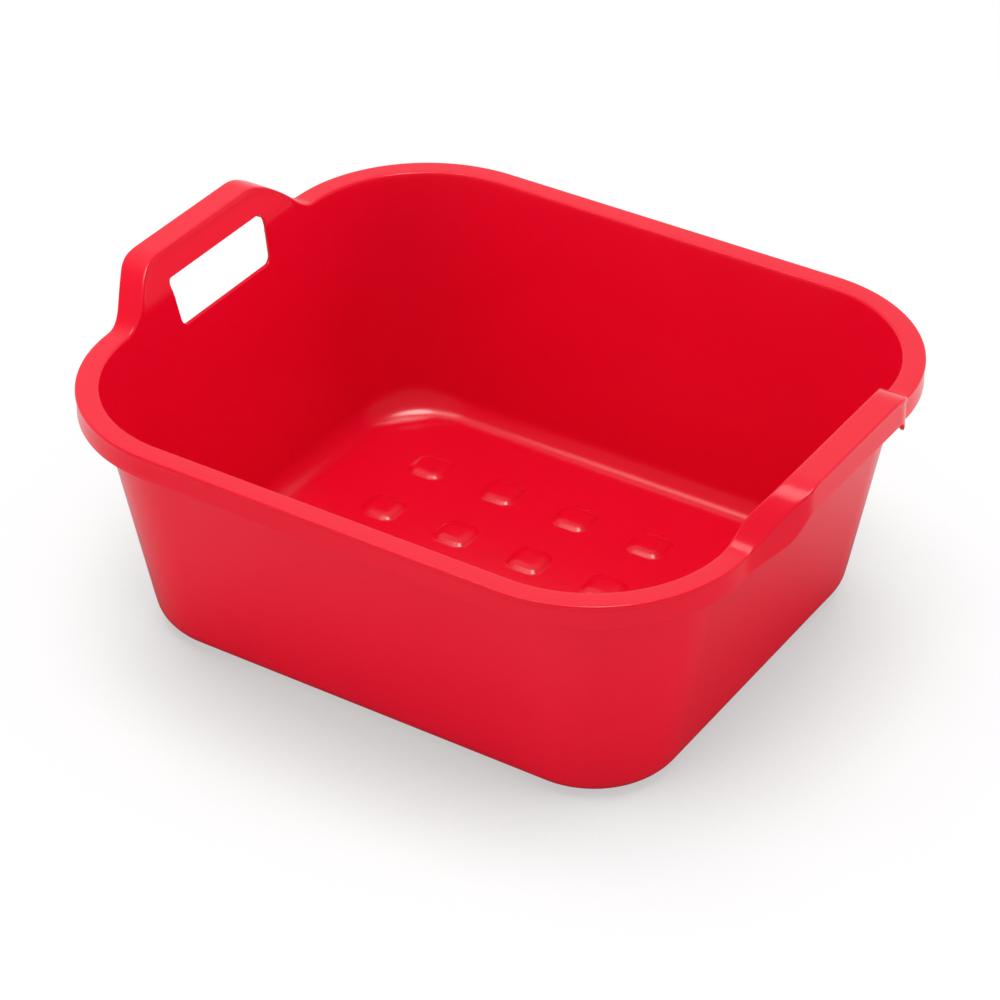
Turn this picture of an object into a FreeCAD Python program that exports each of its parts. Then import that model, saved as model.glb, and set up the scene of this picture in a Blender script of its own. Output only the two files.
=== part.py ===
import FreeCAD, Part
import os
import Sketcher

# Washing up bowl moulded in one red plastic, divided into the regions that a person would name.
# Millimetres. The bowl is long in X, wide in Y and stands on Z = 0, with the origin under its middle.

doc = FreeCAD.newDocument("washing_up_bowl")

# Driving dimensions

SIZES = {
    "rim_length": 360,
    "rim_width": 322,
    "rim_height": 138,
    "rim_corner_radius": 82,
    "flange_width": 11.5,
    "flange_thickness": 2.4,
    "skirt_depth": 13,
    "skirt_thickness": 2,
    "rim_edge_radius": 1.2,
    "heel_length": 298,
    "heel_width": 253.6,
    "heel_corner_radius": 48,
    "heel_height": 18,
    "heel_draft_angle": 11,
    "base_edge_radius": 16,
    "wall_thickness": 2,
    "floor_level": 5,
    "floor_thickness": 2.2,
    "floor_edge_radius": 12,
    "standing_edge_inset": 21.5,
    "handle_seat_drop": 24,
    "handle_rise": 23.5,
    "handle_lean_angle": 32,
    "handle_leg_angle": 40,
    "skirt_leg_angle": 65,
    "handle_foot_radius": 14,
    "handle_top_radius": 16,
    "hole_drop": 13.5,
    "hole_height": 23,
    "hole_foot_width": 74,
    "hole_top_width": 78,
    "hole_corner_radius": 4,
    "bump_width": 21,
    "bump_corner_radius": 7,
    "bump_height": 2,
    "bump_edge_radius": 1.2,
    "bump_pitch": 45,
    "bump_middle_gap": 50,
    "cut_overrun": 40,
}
BUMP_COLUMNS = 5
BUMP_ROWS_PER_SIDE = 2

sizes = doc.addObject("Spreadsheet::Sheet", "sizes")
for row, (alias, amount) in enumerate(SIZES.items(), start=1):
    sizes.set(f"A{row}", alias)
    sizes.set(f"B{row}", str(amount))
    sizes.setAlias(f"B{row}", alias)
doc.recompute()

# Places worked out from the driving dimensions, as expressions on the sheet

RIM_X = "sizes.rim_length / 2"
RIM_Y = "sizes.rim_width / 2"
RIM_Z = "sizes.rim_height"
FLANGE_Z = "(sizes.rim_height - sizes.flange_thickness)"
SKIRT_Z = "(sizes.rim_height - sizes.skirt_depth)"
MOUTH_X = f"({RIM_X} - sizes.flange_width)"
MOUTH_Y = f"({RIM_Y} - sizes.flange_width)"
MOUTH_RADIUS = "(sizes.rim_corner_radius - sizes.flange_width)"
HEEL_X = "sizes.heel_length / 2"
HEEL_Y = "sizes.heel_width / 2"
HEEL_DRAFT = "tan(sizes.heel_draft_angle)"
SEAT_Z = "(sizes.rim_height - sizes.handle_seat_drop)"
SEAT_SHARE = f"(({SEAT_Z} - sizes.heel_height) / (sizes.rim_height - sizes.heel_height))"
SEAT_X = f"({HEEL_X} - sizes.wall_thickness) * (1 - {SEAT_SHARE}) + {MOUTH_X} * {SEAT_SHARE}"
TOP_Z = "(sizes.rim_height + sizes.handle_rise)"
HANDLE_Y = f"({RIM_Y} - sizes.rim_corner_radius)"
LEAN = "tan(sizes.handle_lean_angle)"
LEG_SLOPE = "tan(sizes.handle_leg_angle)"
FOOT_TANGENT = "(sizes.handle_foot_radius * tan(sizes.handle_leg_angle / 2))"
TOP_TANGENT = "(sizes.handle_top_radius * tan(sizes.handle_leg_angle / 2))"
LEG_FOOT_Y = f"({HANDLE_Y} - {FOOT_TANGENT})"
LEG_TOP_Y = f"({LEG_FOOT_Y} - sizes.handle_rise / {LEG_SLOPE})"
SKIRT_FOOT_Y = f"({LEG_TOP_Y} + sizes.handle_rise / tan(sizes.skirt_leg_angle))"
HANDLE_REACH = f"(sizes.handle_rise * {LEAN})"
PLAN_TURN = f"atan({LEAN} * {LEG_SLOPE})"
HOLE_FOOT_Z = "(sizes.rim_height - sizes.hole_drop)"
HOLE_TOP_Z = f"({HOLE_FOOT_Z} + sizes.hole_height)"


def value(expression):
    """Value of an expression on the sheet, in millimetres or degrees."""
    found = sizes.evalExpression(expression)
    return float(getattr(found, "Value", found))


# Sketches and features that several sub-parts share


def origin_plane(body, role):
    return next(f for f in body.Origin.OriginFeatures if f.Role == role)


def new_body(name):
    return doc.addObject("PartDesign::Body", name)


def new_sketch(body, name, role, lift="0"):
    """Sketch on one of the body's origin planes, lifted along the plane's normal."""
    sketch = body.newObject("Sketcher::SketchObject", name)
    sketch.AttachmentSupport = [(origin_plane(body, role), "")]
    sketch.MapMode = "FlatFace"
    sketch.setExpression("AttachmentOffset.Base.z", lift)
    return sketch


def drive(sketch, constraint, label, expression):
    """Adds a dimension to a sketch and binds it to the sheet."""
    index = sketch.addConstraint(constraint)
    sketch.renameConstraint(index, label)
    sketch.setExpression(f"Constraints.{label}", expression)


def polygon(body, name, role, corners):
    """Closed outline of straight sides, each corner driven by a pair of expressions."""
    sketch = new_sketch(body, name, role)
    points = [FreeCAD.Vector(value(across), value(up), 0) for across, up in corners]
    for start, end in zip(points, points[1:] + points[:1]):
        sketch.addGeometry(Part.LineSegment(start, end))
    count = len(points)
    for side in range(count):
        joint = Sketcher.Constraint("Coincident", side, 2, (side + 1) % count, 1)
        sketch.addConstraint(joint)
    for side, (across, up) in enumerate(corners):
        across_now = Sketcher.Constraint("DistanceX", -1, 1, side, 1, points[side].x)
        up_now = Sketcher.Constraint("DistanceY", -1, 1, side, 1, points[side].y)
        drive(sketch, across_now, f"across{side}", across)
        drive(sketch, up_now, f"up{side}", up)
    return sketch


def rounded_rectangle(body, name, half_x, half_y, radius, lift, middle=("0", "0")):
    """Level rectangle with round corners: the arcs' centres and the radius are driven."""
    sketch = new_sketch(body, name, "XY_Plane", lift)
    turn = value(radius)
    reach = FreeCAD.Vector(value(half_x) - turn, value(half_y) - turn, 0)
    centre = FreeCAD.Vector(value(middle[0]), value(middle[1]), 0)
    up = FreeCAD.Vector(0, 0, 1)
    quarter = value("pi / 2")
    signs = [(1, 1), (-1, 1), (-1, -1), (1, -1)]
    arcs = []
    for corner, (across, along) in enumerate(signs):
        place = centre + FreeCAD.Vector(across * reach.x, along * reach.y, 0)
        circle = Part.Circle(place, up, turn)
        arc = Part.ArcOfCircle(circle, corner * quarter, (corner + 1) * quarter)
        arcs.append(sketch.addGeometry(arc))
    for corner, arc in enumerate(arcs):
        following = arcs[(corner + 1) % len(arcs)]
        start = sketch.getPoint(arc, 2)
        end = sketch.getPoint(following, 1)
        side = sketch.addGeometry(Part.LineSegment(start, end))
        sketch.addConstraint(Sketcher.Constraint("Tangent", arc, 2, side, 1))
        sketch.addConstraint(Sketcher.Constraint("Tangent", side, 2, following, 1))
        level = "Horizontal" if corner % 2 == 0 else "Vertical"
        sketch.addConstraint(Sketcher.Constraint(level, side))
    drive(sketch, Sketcher.Constraint("Radius", arcs[0], turn), "radius", radius)
    sketch.addConstraint(Sketcher.Constraint("Equal", arcs[0], arcs[1]))
    for arc, (across, along) in ((arcs[0], signs[0]), (arcs[2], signs[2])):
        place = sketch.getPoint(arc, 3)
        across_now = Sketcher.Constraint("DistanceX", -1, 1, arc, 3, place.x)
        along_now = Sketcher.Constraint("DistanceY", -1, 1, arc, 3, place.y)
        drive(sketch, across_now, f"across{arc}", f"{middle[0]} + ({across}) * ({half_x} - {radius})")
        drive(sketch, along_now, f"along{arc}", f"{middle[1]} + ({along}) * ({half_y} - {radius})")
    return sketch


def pad(body, sketch, length, both_ways=False):
    feature = body.newObject("PartDesign::Pad", f"{sketch.Name}_pad")
    feature.Profile = sketch
    feature.setExpression("Length", length)
    feature.Midplane = both_ways
    doc.recompute()
    return feature


def loft(body, low, high):
    feature = body.newObject("PartDesign::AdditiveLoft", f"{low.Name}_loft")
    feature.Profile = low
    feature.Sections = [high]
    feature.Ruled = True
    doc.recompute()
    return feature


def fillet(body, base, wanted, radius):
    """Rounds those edges of a feature for which wanted(edge) is true."""
    names = [f"Edge{n}" for n, edge in enumerate(base.Shape.Edges, start=1) if wanted(edge)]
    feature = body.newObject("PartDesign::Fillet", f"{base.Name}_fillet")
    feature.Base = (base, names)
    feature.setExpression("Radius", radius)
    doc.recompute()
    return feature


NEAR = 1e-4


def at_height(level):
    """Test for edges that lie level at a height."""
    return lambda edge: all(abs(v.Point.z - level) < NEAR for v in edge.Vertexes)


def runs_along(axis):
    """Test for straight edges along an axis."""

    def test(edge):
        if not isinstance(edge.Curve, Part.Line):
            return False
        return abs(abs(edge.Curve.Direction.dot(axis)) - 1) < NEAR

    return test


def boolean(kind, name, base, tools):
    """Part boolean of one base with several tools, as a chain of document objects."""
    result = base
    for count, tool in enumerate(tools, start=1):
        step = doc.addObject(f"Part::{kind}", name if count == len(tools) else f"{name}_step{count}")
        step.Base = result
        step.Tool = tool
        step.Refine = True
        result = step
    doc.recompute()
    return result


def zone(name, low, high):
    """Box between two corners given as expressions, used to divide the moulding."""
    box = doc.addObject("Part::Box", name)
    for side, axis, start, end in zip(("Length", "Width", "Height"), "xyz", low, high):
        box.setExpression(side, f"({end}) - ({start})")
        box.setExpression(f"Placement.Base.{axis}", start)
    doc.recompute()
    return box


# Outer and inner forms of the tapered bowl

X_AXIS = FreeCAD.Vector(1, 0, 0)
Z_AXIS = FreeCAD.Vector(0, 0, 1)


def tapered_form(name, inset, low_z, edge_radius):
    """Solid form of the bowl, moved in by an inset: an evenly tapered heel with a round lower
    edge, and above it the wall that runs on to the mouth."""
    body = new_body(name)
    outset = f"(sizes.wall_thickness - {inset})"
    heel = (f"({HEEL_X} - {inset})", f"({HEEL_Y} - {inset})", f"(sizes.heel_corner_radius - {inset})")
    mouth = (f"({MOUTH_X} + {outset})", f"({MOUTH_Y} + {outset})", f"({MOUTH_RADIUS} + {outset})")
    taper = f"((sizes.heel_height - {low_z}) * {HEEL_DRAFT})"
    base = [f"({size} - {taper})" for size in heel]
    low = rounded_rectangle(body, f"{name}_base", *base, low_z)
    middle = rounded_rectangle(body, f"{name}_heel", *heel, "sizes.heel_height")
    high = rounded_rectangle(body, f"{name}_mouth", *mouth, RIM_Z)
    heel_loft = loft(body, low, middle)
    fillet(body, heel_loft, at_height(value(low_z)), edge_radius)
    loft(body, middle, high)
    return body


outer_body = tapered_form("outer_form", "0", "0", "sizes.base_edge_radius")
inner_body = tapered_form("inner_form", "sizes.wall_thickness", "sizes.floor_level", "sizes.floor_edge_radius")

# Base panel: the flat floor, raised inside the standing edge

PANEL_X = f"({HEEL_X} - sizes.standing_edge_inset)"
PANEL_Y = f"({HEEL_Y} - sizes.standing_edge_inset)"
PANEL_RADIUS = "(sizes.heel_corner_radius - sizes.standing_edge_inset)"
PANEL_Z = "(sizes.floor_level - sizes.floor_thickness)"

base_panel = new_body("base_panel")
panel_outline = rounded_rectangle(base_panel, "panel_outline", PANEL_X, PANEL_Y, PANEL_RADIUS, PANEL_Z)
pad(base_panel, panel_outline, "sizes.floor_thickness")

opening_body = new_body("base_opening")
opening_outline = rounded_rectangle(
    opening_body, "opening_outline", PANEL_X, PANEL_Y, PANEL_RADIUS, "-sizes.cut_overrun"
)
pad(opening_body, opening_outline, "2 * sizes.cut_overrun")

# Walls: open below for the panel, the two end walls lower by the drop to the handles' seats

FAR_X = f"({RIM_X} + {HANDLE_REACH} + sizes.cut_overrun)"
FAR_Y = f"({RIM_Y} + sizes.cut_overrun)"
FAR_Z = f"({TOP_Z} + sizes.cut_overrun)"

above_wall = zone("above_wall", (f"-{FAR_X}", f"-{FAR_Y}", FLANGE_Z), (FAR_X, FAR_Y, FAR_Z))
behind = zone("behind_front", (f"-{FAR_X}", f"-{HANDLE_Y}", "0"), (FAR_X, FAR_Y, FAR_Z))
before = zone("before_back", (f"-{FAR_X}", f"-{FAR_Y}", "0"), (FAR_X, HANDLE_Y, FAR_Z))
right_end = zone("right_end", ("0", f"-{HANDLE_Y}", "0"), (FAR_X, HANDLE_Y, SEAT_Z))

wall_ring = boolean("Cut", "wall_ring", outer_body, [inner_body, opening_body, above_wall])
front_wall = boolean("Cut", "front_wall", wall_ring, [behind])
back_wall = boolean("Cut", "back_wall", wall_ring, [before])
right_wall = boolean("Common", "right_wall", wall_ring, [right_end])


def mirrored_left(name, source):
    """Copy of a right-hand sub-part, mirrored to the left end."""
    copy = doc.addObject("Part::Mirroring", name)
    copy.Source = source
    copy.Base = FreeCAD.Vector(0, 0, 0)
    copy.Normal = X_AXIS
    doc.recompute()
    return copy


left_wall = mirrored_left("left_wall", right_wall)

# Front and back rims: flange and hanging skirt, from corner arc to corner arc

rim_body = new_body("rim_form")
rim_outline = rounded_rectangle(rim_body, "rim_outline", RIM_X, RIM_Y, "sizes.rim_corner_radius", SKIRT_Z)
rim_pad = pad(rim_body, rim_outline, "sizes.skirt_depth")
fillet(rim_body, rim_pad, at_height(value(RIM_Z)), "sizes.rim_edge_radius")

hollow_body = new_body("rim_hollow")
hollow_outline = rounded_rectangle(
    hollow_body,
    "hollow_outline",
    f"({RIM_X} - sizes.skirt_thickness)",
    f"({RIM_Y} - sizes.skirt_thickness)",
    "(sizes.rim_corner_radius - sizes.skirt_thickness)",
    f"({SKIRT_Z} - sizes.cut_overrun)",
)
pad(hollow_body, hollow_outline, "sizes.cut_overrun + sizes.skirt_depth - sizes.flange_thickness")

rim_ring = boolean("Cut", "rim_ring", rim_body, [hollow_body, inner_body])
front_rim = boolean("Cut", "front_rim", rim_ring, [behind])
back_rim = boolean("Cut", "back_rim", rim_ring, [before])

# Handles: an arched end of the rim on a plate that leans outward, with a hand-hole through the plate


def handle_arch(name, drop, foot_y=LEG_FOOT_Y):
    """Everything below the handle's arched outline, lowered by a drop, as seen along X."""
    body = new_body(name)
    rim_z = f"({RIM_Z} - {drop})"
    top_z = f"({TOP_Z} - {drop})"
    corners = [
        (f"-{FAR_Y}", f"({SEAT_Z} - {drop})"),
        (FAR_Y, f"({SEAT_Z} - {drop})"),
        (FAR_Y, rim_z),
        (foot_y, rim_z),
        (LEG_TOP_Y, top_z),
        (f"-{LEG_TOP_Y}", top_z),
        (f"-{foot_y}", rim_z),
        (f"-{FAR_Y}", rim_z),
    ]
    arch = pad(body, polygon(body, f"{name}_outline", "YZ_Plane", corners), FAR_X)
    along = runs_along(X_AXIS)
    leg_foot = value(foot_y)
    foot_level = value(rim_z)
    top_level = value(top_z)

    def at_foot(edge):
        point = edge.Vertexes[0].Point
        return along(edge) and abs(abs(point.y) - leg_foot) < NEAR and abs(point.z - foot_level) < NEAR

    def at_top(edge):
        return along(edge) and abs(edge.Vertexes[0].Point.z - top_level) < NEAR

    feet = fillet(body, arch, at_foot, "sizes.handle_foot_radius")
    fillet(body, feet, at_top, "sizes.handle_top_radius")
    return body


def handle_plan(name, inset):
    """Everything inside the handle's outer edge, moved in by an inset, as seen from above."""
    body = new_body(name)
    rim_x = f"({RIM_X} - {inset})"
    reach_x = f"({RIM_X} + {HANDLE_REACH} - {inset})"
    corners = [
        ("0", f"-{FAR_Y}"),
        (rim_x, f"-{FAR_Y}"),
        (rim_x, f"-{LEG_FOOT_Y}"),
        (reach_x, f"-{LEG_TOP_Y}"),
        (reach_x, LEG_TOP_Y),
        (rim_x, LEG_FOOT_Y),
        (rim_x, FAR_Y),
        ("0", FAR_Y),
    ]
    plan = pad(body, polygon(body, f"{name}_outline", "XY_Plane", corners), FAR_Z)
    upright = runs_along(Z_AXIS)
    foot_x = value(rim_x)
    top_x = value(reach_x)
    end_y = value(FAR_Y)

    def at_foot(edge):
        point = edge.Vertexes[0].Point
        return upright(edge) and abs(point.x - foot_x) < NEAR and abs(point.y) < end_y - NEAR

    def at_top(edge):
        return upright(edge) and abs(edge.Vertexes[0].Point.x - top_x) < NEAR

    feet = fillet(body, plan, at_foot, f"{FOOT_TANGENT} / tan({PLAN_TURN} / 2)")
    fillet(body, feet, at_top, f"{TOP_TANGENT} / tan({PLAN_TURN} / 2)")
    return body


def handle_side(name, outer_seat_x, outer_rim_x, outer_top_x):
    """Outline seen along Y: up the bowl's inside, leaning out above the rim, and back down outside."""
    body = new_body(name)
    corners = [
        (SEAT_X, SEAT_Z),
        (outer_seat_x, SEAT_Z),
        (outer_rim_x, RIM_Z),
        (outer_top_x, TOP_Z),
        (f"({MOUTH_X} + {HANDLE_REACH})", TOP_Z),
        (MOUTH_X, RIM_Z),
    ]
    pad(body, polygon(body, f"{name}_outline", "XZ_Plane", corners), f"2 * {HANDLE_Y}", both_ways=True)
    return body


arch = handle_arch("arch_form", "0")
arch_below_flange = handle_arch("arch_below_flange", "sizes.flange_thickness")
arch_below_skirt = handle_arch("arch_below_skirt", "sizes.skirt_depth", SKIRT_FOOT_Y)
plan = handle_plan("plan_form", "0")
plan_inside_skirt = handle_plan("plan_inside_skirt", "sizes.skirt_thickness")
outside = handle_side("outside_form", FAR_X, FAR_X, FAR_X)
plate = handle_side(
    "plate_form",
    f"({SEAT_X} + sizes.wall_thickness)",
    f"({MOUTH_X} + sizes.wall_thickness)",
    f"({MOUTH_X} + {HANDLE_REACH} + sizes.wall_thickness)",
)

hole_body = new_body("hand_hole")
hole_corners = [
    ("-sizes.hole_foot_width / 2", HOLE_FOOT_Z),
    ("sizes.hole_foot_width / 2", HOLE_FOOT_Z),
    ("sizes.hole_top_width / 2", HOLE_TOP_Z),
    ("-sizes.hole_top_width / 2", HOLE_TOP_Z),
]
hole_pad = pad(hole_body, polygon(hole_body, "hole_outline", "YZ_Plane", hole_corners), FAR_X)
fillet(hole_body, hole_pad, runs_along(X_AXIS), "sizes.hole_corner_radius")

arched_plate = boolean("Common", "arched_plate", plate, [arch])
holed_plate = boolean("Cut", "holed_plate", arched_plate, [hole_body])
arched_edge = boolean("Common", "arched_edge", outside, [arch, plan])
handle_flange = boolean("Cut", "handle_flange", arched_edge, [arch_below_flange])
handle_skirt = boolean("Cut", "handle_skirt", arched_edge, [plan_inside_skirt, arch_below_skirt])
right_handle = boolean("Fuse", "right_handle", holed_plate, [handle_flange, handle_skirt])

left_handle = mirrored_left("left_handle", right_handle)

# Floor bumps: low rounded squares in a grid, with a wider gap along the middle

floor_bumps = new_body("floor_bumps")
floor_bumps.AllowCompound = True
bump_outline = rounded_rectangle(
    floor_bumps,
    "bump_outline",
    "sizes.bump_width / 2",
    "sizes.bump_width / 2",
    "sizes.bump_corner_radius",
    "sizes.floor_level",
    (f"(-sizes.bump_pitch * {(BUMP_COLUMNS - 1) / 2})", "(sizes.bump_middle_gap / 2)"),
)
bump_pad = pad(floor_bumps, bump_outline, "sizes.bump_height")
bump_top = value("sizes.floor_level + sizes.bump_height")
bump_fillet = fillet(floor_bumps, bump_pad, at_height(bump_top), "sizes.bump_edge_radius")

bump_grid = floor_bumps.newObject("PartDesign::MultiTransform", "bump_grid")
bump_grid.Originals = [bump_pad, bump_fillet]
bump_columns = floor_bumps.newObject("PartDesign::LinearPattern", "bump_columns")
bump_columns.Direction = (bump_outline, ["H_Axis"])
bump_columns.Occurrences = BUMP_COLUMNS
bump_columns.setExpression("Length", f"sizes.bump_pitch * {BUMP_COLUMNS - 1}")
bump_rows = floor_bumps.newObject("PartDesign::LinearPattern", "bump_rows")
bump_rows.Direction = (bump_outline, ["V_Axis"])
bump_rows.Occurrences = BUMP_ROWS_PER_SIDE
bump_rows.setExpression("Length", f"sizes.bump_pitch * {BUMP_ROWS_PER_SIDE - 1}")
bump_sides = floor_bumps.newObject("PartDesign::Mirrored", "bump_sides")
bump_sides.MirrorPlane = (origin_plane(floor_bumps, "XZ_Plane"), [""])
bump_grid.Transformations = [bump_columns, bump_rows, bump_sides]
floor_bumps.Tip = bump_grid
doc.recompute()

# Every object is checked before the sub-parts are written

for thing in doc.Objects:
    if "Invalid" in thing.State or "Error" in thing.State:
        raise RuntimeError(f"{thing.Name} failed: {thing.State}")

os.makedirs("parts", exist_ok=True)
walls = [front_wall, back_wall, left_wall, right_wall]
rims = [front_rim, back_rim, left_handle, right_handle]
sub_parts = [base_panel] + walls + rims + [floor_bumps]
for sub_part in sub_parts:
    shape = sub_part.Shape
    if shape.isNull() or not shape.isValid():
        raise RuntimeError(f"{sub_part.Label} has no valid shape")
    shape.exportStep(f"parts/{sub_part.Label}.step")
    box = shape.optimalBoundingBox(False)
    print(
        f"{sub_part.Label}: {len(shape.Solids)} solids, {shape.Volume / 1000:.1f} cm3,",
        f"X {box.XMin:.1f} to {box.XMax:.1f}, Y {box.YMin:.1f} to {box.YMax:.1f},",
        f"Z {box.ZMin:.1f} to {box.ZMax:.1f}",
    )
print(f"The bowl holds {inner_body.Shape.Volume / 1e6:.2f} litres to the brim")
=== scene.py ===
# %% [markdown]
# # A red washing up bowl
# The bowl is one plastic moulding: a floor, tapered walls, a flanged rim and a raised handle at each end.
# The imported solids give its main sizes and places. This lesson dresses them with smooth meshes, one for
# each named region, and most of them come from a few templates that are run round the same outline.
# Pieces that share an outline and a bending rule meet exactly, so the joins between them can't be seen.

# %% Load the solids and note the box that they fill
import math

import bmesh
import bpy
from mathutils import Matrix, Vector


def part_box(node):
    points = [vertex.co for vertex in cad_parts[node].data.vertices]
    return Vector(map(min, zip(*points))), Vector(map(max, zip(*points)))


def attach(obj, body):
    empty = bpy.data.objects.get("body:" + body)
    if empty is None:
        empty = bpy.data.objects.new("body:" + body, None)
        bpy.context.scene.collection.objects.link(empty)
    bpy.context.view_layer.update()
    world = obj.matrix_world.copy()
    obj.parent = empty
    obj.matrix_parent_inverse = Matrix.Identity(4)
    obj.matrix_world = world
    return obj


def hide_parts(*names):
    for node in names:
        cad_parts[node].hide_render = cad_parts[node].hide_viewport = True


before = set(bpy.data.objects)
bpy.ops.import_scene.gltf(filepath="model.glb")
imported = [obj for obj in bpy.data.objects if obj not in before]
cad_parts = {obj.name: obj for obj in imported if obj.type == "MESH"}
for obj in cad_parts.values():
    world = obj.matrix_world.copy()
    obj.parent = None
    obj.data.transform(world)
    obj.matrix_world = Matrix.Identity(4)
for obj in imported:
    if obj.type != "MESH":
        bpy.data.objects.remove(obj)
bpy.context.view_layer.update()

MM = 0.001
print("Nodes:", sorted(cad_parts))

# %% [markdown]
# ## Camera
# A product picture is taken with a long lens from well back, so that the far rim is hardly smaller than
# the near one. The angles, the distance and the point aimed at were found by fitting a pinhole camera to
# the edges of the bowl, and they are set first because every later step is judged through this view.

# %% Place the camera

CAMERA_AZIMUTH = math.radians(32.555)
CAMERA_ELEVATION = math.radians(34.44)
CAMERA_DISTANCE = 1.901
CAMERA_AIM = Vector((-0.0464, 0.0698, 0.0))
LENS_LENGTH = 129.6
SENSOR_WIDTH = 36.0


def direction_from(azimuth, elevation):
    """Unit vector from the bowl towards a viewer or a lamp; azimuth 0 is straight in front."""
    level = math.cos(elevation)
    return Vector((math.sin(azimuth) * level, -math.cos(azimuth) * level, math.sin(elevation)))


def aim(thing, place, target):
    """Puts a camera or lamp at a place and points its view axis at a target."""
    thing.location = place
    thing.rotation_euler = (target - place).to_track_quat("-Z", "Y").to_euler()


camera_data = bpy.data.cameras.new("product_camera")
camera_data.lens = LENS_LENGTH
camera_data.sensor_width = SENSOR_WIDTH
camera = bpy.data.objects.new("product_camera", camera_data)
bpy.context.scene.collection.objects.link(camera)
towards_camera = direction_from(CAMERA_AZIMUTH, CAMERA_ELEVATION)
aim(camera, CAMERA_AIM + CAMERA_DISTANCE * towards_camera, CAMERA_AIM)
bpy.context.scene.camera = camera
print("Camera at", [round(side, 3) for side in camera.location])

# %% [markdown]
# ## Sizes of the moulding
# The main sizes are read from the boxes of the solids. Thicknesses and the foot of the wall don't show in
# a box, so they are written out. Seen from above, every level of the bowl is a rectangle with round
# corners, and the corners of all levels turn about nearly the same four points. So a place on the
# moulding needs only three things: a point on that inner rectangle, called the spine, the reach outward
# from it, and the height.

# %% Read the main sizes

rim_low, rim_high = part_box("front_rim")
handle_low, handle_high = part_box("right_handle")
panel_low, panel_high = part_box("base_panel")
bumps_low, bumps_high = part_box("floor_bumps")

SPINE_Y = -rim_high[1]
RIM_REACH = -rim_low[1] - SPINE_Y
SPINE_X = rim_high[0] - RIM_REACH
RIM_Z = rim_high[2]
SKIRT_Z = rim_low[2]
SEAT_Z = handle_low[2]
HANDLE_RISE = handle_high[2] - RIM_Z
HANDLE_REACH = handle_high[0] - rim_high[0]
FLOOR_Z = panel_high[2]
PANEL_Z = panel_low[2]
PANEL_REACH = panel_high[1] - SPINE_Y
BASE_SPREAD = panel_high[0] - PANEL_REACH - SPINE_X

FLANGE_WIDTH = 11.5 * MM
FLANGE_THICKNESS = 2.4 * MM
WALL_THICKNESS = 2.0 * MM
SKIRT_THICKNESS = 2.0 * MM
BASE_REACH = 44.4 * MM
HEEL_Z = 18 * MM
MOUTH_REACH = RIM_REACH - FLANGE_WIDTH
DRAFT = (MOUTH_REACH + WALL_THICKNESS - BASE_REACH) / RIM_Z
print("Spine half sizes:", round(SPINE_X, 4), round(SPINE_Y, 4), "draft:", round(DRAFT, 3))


def outer_reach(height):
    """Reach of the wall's outer face at a height."""
    return BASE_REACH + DRAFT * height


def inner_reach(height):
    """Reach of the wall's inner face at a height."""
    return outer_reach(height) - WALL_THICKNESS


# %% [markdown]
# ## Templates
# A plasterer pulls a cornice with a template, and the same idea makes the walls and the rim: the section
# of the moulding is drawn once as a closed outline and then swept along the spine. The outline starts as
# a few corners. Each corner is rounded with a vertex bevel, and long stretches are divided so that the
# smooth shading stays true on the flat faces next to a rounding.

# %% Round a corner or an edge

ROUND_STEPS = 6
FEWEST_STEPS = 3
STEP_RADIUS = 6 * MM


def bevel(bm, geom, affect, offset, steps):
    """Rounds the corners or edges that are given."""
    bmesh.ops.bevel(
        bm,
        geom=geom,
        affect=affect,
        offset=offset,
        offset_type="OFFSET",
        segments=steps,
        profile=0.5,
        material=-1,
    )


def round_steps(radius, half_turn):
    """Number of steps in a rounding, more for a larger radius and for a larger turn."""
    fineness = 1 + radius / STEP_RADIUS
    return max(FEWEST_STEPS, round(ROUND_STEPS * fineness * half_turn))


def round_corner(bm, point, radius):
    """Bevels one corner of an outline to about a radius."""
    ahead, behind = [edge.other_vert(point).co - point.co for edge in point.link_edges]
    half_turn = (math.pi - ahead.angle(behind)) / 2
    bevel(bm, [point], "VERTICES", radius * math.tan(half_turn), round_steps(radius, half_turn))


print("Steps in a square corner of 1 mm radius:", round_steps(MM, math.pi / 4))

# %% Draw a section outline


def template(corners, longest):
    """Closed outline in the plane X = 0, in front of the bowl, from (reach, height, radius) corners."""
    bm = bmesh.new()
    points = [bm.verts.new((0, -SPINE_Y - reach, height)) for reach, height, radius in corners]
    for start, end in zip(points, points[1:] + points[:1]):
        bm.edges.new((start, end))
    for point, (reach, height, radius) in zip(points, corners):
        if radius:
            round_corner(bm, point, radius)
    for edge in list(bm.edges):
        cuts = int(edge.calc_length() / longest)
        if cuts:
            bmesh.ops.subdivide_edges(bm, edges=[edge], cuts=cuts)
    return bm


# %% Sweep an outline along straight sides and round corners

CORNER_STEPS = 40
FRONT_STEPS = 12
SEAM_STEP = 0.4 * MM
JOIN_DISTANCE = 0.001 * MM


def slide(bm, outline, travel, steps):
    """Extrudes an outline along a straight line and returns the outline at the far end."""
    swept = bmesh.ops.spin(bm, geom=outline, dvec=travel / steps, axis=(0, 0, 1), angle=0, steps=steps)
    return swept["geom_last"]


def turn(bm, outline, centre, angle, steps):
    """Extrudes an outline round an upright axis and returns the outline at the far end."""
    swept = bmesh.ops.spin(bm, geom=outline, cent=centre, axis=(0, 0, 1), angle=angle, steps=steps)
    return swept["geom_last"]


def only(kind, parts):
    """The vertices, edges or faces among the parts that an operator gave."""
    return [part for part in parts if isinstance(part, kind)]


def cap(bm, outline):
    """Closes one end of a sweep with a flat face."""
    bmesh.ops.edgeloop_fill(bm, edges=only(bmesh.types.BMEdge, outline))


def whole(bm):
    """All the geometry of a bmesh, in the form that its operators take."""
    return bm.verts[:] + bm.edges[:] + bm.faces[:]


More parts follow.
